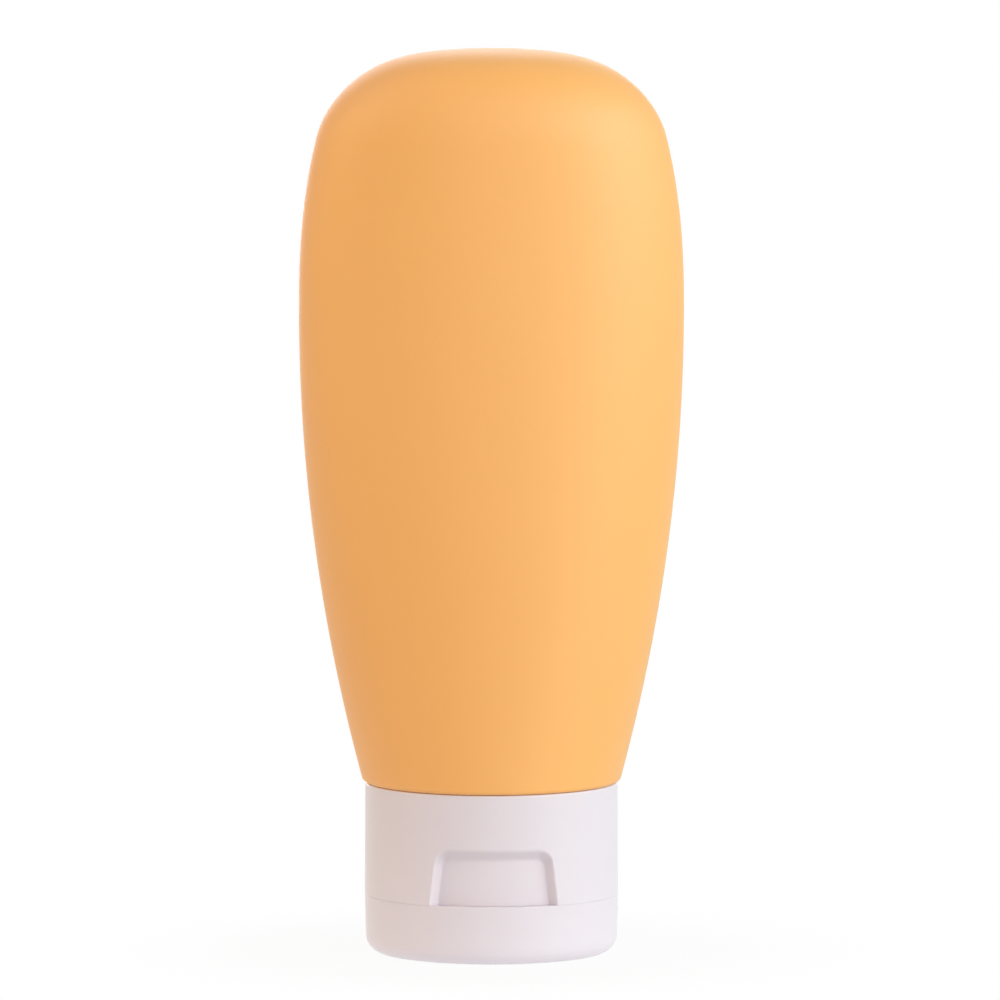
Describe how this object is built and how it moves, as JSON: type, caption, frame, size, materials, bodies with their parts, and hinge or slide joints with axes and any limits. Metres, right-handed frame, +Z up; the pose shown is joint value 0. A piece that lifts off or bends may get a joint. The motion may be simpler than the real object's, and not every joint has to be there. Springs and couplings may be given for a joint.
{
  "type": "travel squeeze bottle",
  "caption": "Soft oval squeeze bottle with a domed end that stands on a white screw-on flip-top cap with a film hinge and a thumb recess.",
  "frame": {"origin": "middle of the flat face of the lid, on the surface that the bottle stands on", "axes": "+Z up along the cap and the body; the thumb recess faces -Y; the film hinge is at +Y; the wide way of the body is along X"},
  "size_m": [0.0536, 0.0358, 0.1266],
  "materials": {
    "soft_body": "matt soft-touch",
    "cap_plastic": "satin, as moulded",
    "seal": "matt"
  },
  "bodies": {
    "cap_body": {"cap_base": "cap_plastic", "living_hinge": "cap_plastic"},
    "lid_body": {"lid": "cap_plastic"},
    "seal_body": {"seal_ring": "seal"},
    "bottle_body": {"bottle": "soft_body"}
  },
  "joints": [
    {"name": "lid_hinge", "type": "hinge", "parent": "cap_body", "child": "lid_body", "pos_m": [0, 0.017, 0.00827], "axis": [1, 0, 0], "range_deg": [0, 175], "deforming": ["living_hinge"]},
    {"name": "bottle_turn", "type": "hinge", "parent": "cap_body", "child": "seal_body", "pos_m": [0, 0, 0.0105], "axis": [0, 0, 1], "range_deg": [0, 1800]},
    {"name": "bottle_lift", "type": "slide", "parent": "seal_body", "child": "bottle_body", "axis": [0, 0, 1], "range_m": [0, 0.015]}
  ],
  "couplings": [
    {"joint": "bottle_lift", "follows": "bottle_turn", "m_per_rad": 0.00047746}
  ]
}
